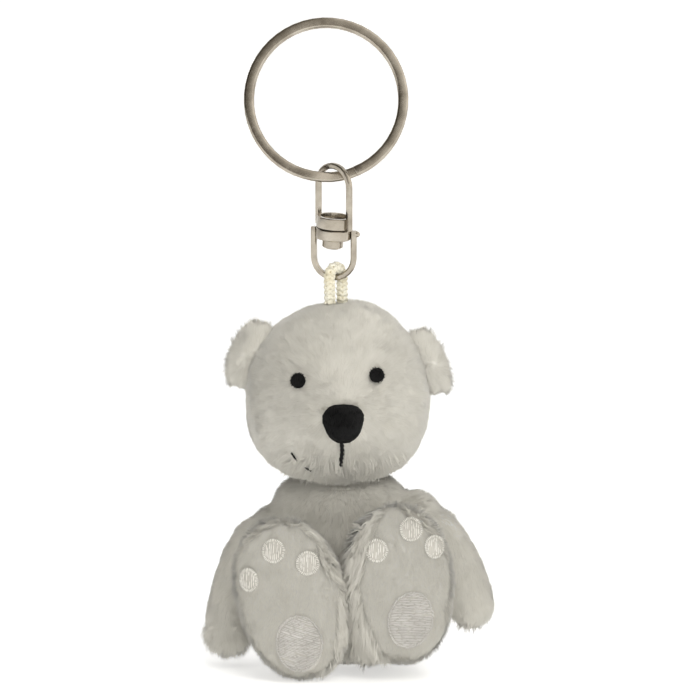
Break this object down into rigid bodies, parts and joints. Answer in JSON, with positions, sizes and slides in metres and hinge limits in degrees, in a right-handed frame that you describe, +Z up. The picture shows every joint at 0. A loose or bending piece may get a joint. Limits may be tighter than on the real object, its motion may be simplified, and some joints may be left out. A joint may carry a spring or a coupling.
{
  "type": "plush keychain",
  "caption": "Key ring with a small sitting plush bear that hangs by a braided cord from a two-part swivel and a split ring.",
  "frame": {"origin": "middle of the flat seat under the torso", "axes": "+Z up through the neck and the split ring, -Y the way the bear faces, +X the bear's own left side"},
  "size_m": [0.0513, 0.0359, 0.1106],
  "materials": {
    "worn_nickel": "nickel-plated steel, polished then dulled by wear",
    "white_plush": "short dense plush pile",
    "short_pile": "smooth velboa with very short pile",
    "white_embroidery": "glossy satin-stitch thread",
    "black_embroidery": "matt black satin-stitch thread",
    "braided_cord": "round braided polyester cord",
    "polyester_fibre": "loose fibrefill"
  },
  "bodies": {
    "ring": {"split_ring": "worn_nickel"},
    "upper_bail": {"swivel_upper_bail": "worn_nickel", "swivel_rivet": "worn_nickel"},
    "lower_bail": {"swivel_lower_bail": "worn_nickel"},
    "cord": {"cord_loop": "braided_cord"},
    "head": {"head_gusset": "white_plush", "head_side_left": "white_plush", "head_side_right": "white_plush", "head_stuffing": "polyester_fibre", "cord_knot": "braided_cord", "eye_left": "black_embroidery", "eye_right": "black_embroidery", "nose": "black_embroidery", "mouth_stitch": "black_embroidery"},
    "ear_left": {"ear_left_front": "white_plush", "ear_left_back": "white_plush"},
    "ear_right": {"ear_right_front": "white_plush", "ear_right_back": "white_plush"},
    "neck": {"neck_thread": "white_embroidery"},
    "torso": {"torso_front": "white_plush", "torso_back": "white_plush", "torso_stuffing": "polyester_fibre"},
    "arm_left": {"arm_cover_left": "white_plush", "arm_stuffing_left": "polyester_fibre"},
    "arm_right": {"arm_cover_right": "white_plush", "arm_stuffing_right": "polyester_fibre"},
    "leg_left": {"leg_cover_left": "white_plush", "sole_left": "short_pile", "leg_stuffing_left": "polyester_fibre", "toe_pad_inner_left": "white_embroidery", "toe_pad_middle_left": "white_embroidery", "toe_pad_outer_left": "white_embroidery", "heel_pad_left": "white_embroidery"},
    "leg_right": {"leg_cover_right": "white_plush", "sole_right": "short_pile", "leg_stuffing_right": "polyester_fibre", "toe_pad_inner_right": "white_embroidery", "toe_pad_middle_right": "white_embroidery", "toe_pad_outer_right": "white_embroidery", "heel_pad_right": "white_embroidery"}
  },
  "joints": [
    {"name": "ring_swing", "type": "hinge", "parent": "ring", "child": "upper_bail", "pos_m": [-0.0032, -0.00254, 0.08353], "axis": [1, 0, 0], "range_deg": [-85, 85]},
    {"name": "swivel_spin", "type": "hinge", "parent": "upper_bail", "child": "lower_bail", "pos_m": [-0.0019, -0.0012, 0.07485], "axis": [0.0698, -0.1732, 0.9824], "continuous": true},
    {"name": "bail_hinge", "type": "hinge", "parent": "lower_bail", "child": "cord", "pos_m": [-0.0019, 0.00031, 0.06628], "axis": [-0.9781, 0.2047, 0.0361], "range_deg": [-45, 45]},
    {"name": "cord_flex", "type": "hinge", "parent": "cord", "child": "head", "pos_m": [-0.0006, 0.0007, 0.0621], "axis": [0.6428, 0.766, 0], "range_deg": [-35, 35], "stiffness_Nm_per_rad": 0.0002},
    {"name": "ear_fold_left", "type": "hinge", "parent": "head", "child": "ear_left", "pos_m": [0.01504, 0.0005, 0.05172], "axis": [-0.3746, 0, 0.9272], "range_deg": [-20, 20], "stiffness_Nm_per_rad": 0.0005},
    {"name": "ear_fold_right", "type": "hinge", "parent": "head", "child": "ear_right", "pos_m": [-0.01704, 0.0005, 0.05302], "axis": [0.3746, 0, 0.9272], "range_deg": [-20, 20], "stiffness_Nm_per_rad": 0.0005},
    {"name": "head_turn", "type": "hinge", "parent": "head", "child": "neck", "pos_m": [-0.0008, 0.0008, 0.03055], "axis": [0, 0, 1], "range_deg": [-25, 25], "stiffness_Nm_per_rad": 0.003},
    {"name": "head_nod", "type": "hinge", "parent": "neck", "child": "torso", "pos_m": [-0.0008, 0.0008, 0.03055], "axis": [1, 0, 0], "range_deg": [-8, 8], "stiffness_Nm_per_rad": 0.005},
    {"name": "shoulder_lift_left", "type": "hinge", "parent": "torso", "child": "arm_left", "pos_m": [0.0137, 0.0008, 0.027], "axis": [0, -1, 0], "range_deg": [0, 50], "stiffness_Nm_per_rad": 0.0005},
    {"name": "shoulder_lift_right", "type": "hinge", "parent": "torso", "child": "arm_right", "pos_m": [-0.0136, 0.0008, 0.0252], "axis": [0, 1, 0], "range_deg": [0, 50], "stiffness_Nm_per_rad": 0.0005},
    {"name": "hip_swing_left", "type": "hinge", "parent": "torso", "child": "leg_left", "pos_m": [0.00925, -0.008, 0.01], "axis": [1, 0, 0], "range_deg": [-8, 8], "stiffness_Nm_per_rad": 0.002},
    {"name": "hip_swing_right", "type": "hinge", "parent": "torso", "child": "leg_right", "pos_m": [-0.0069, -0.008, 0.0078], "axis": [1, 0, 0], "range_deg": [-8, 8], "stiffness_Nm_per_rad": 0.002}
  ]
}
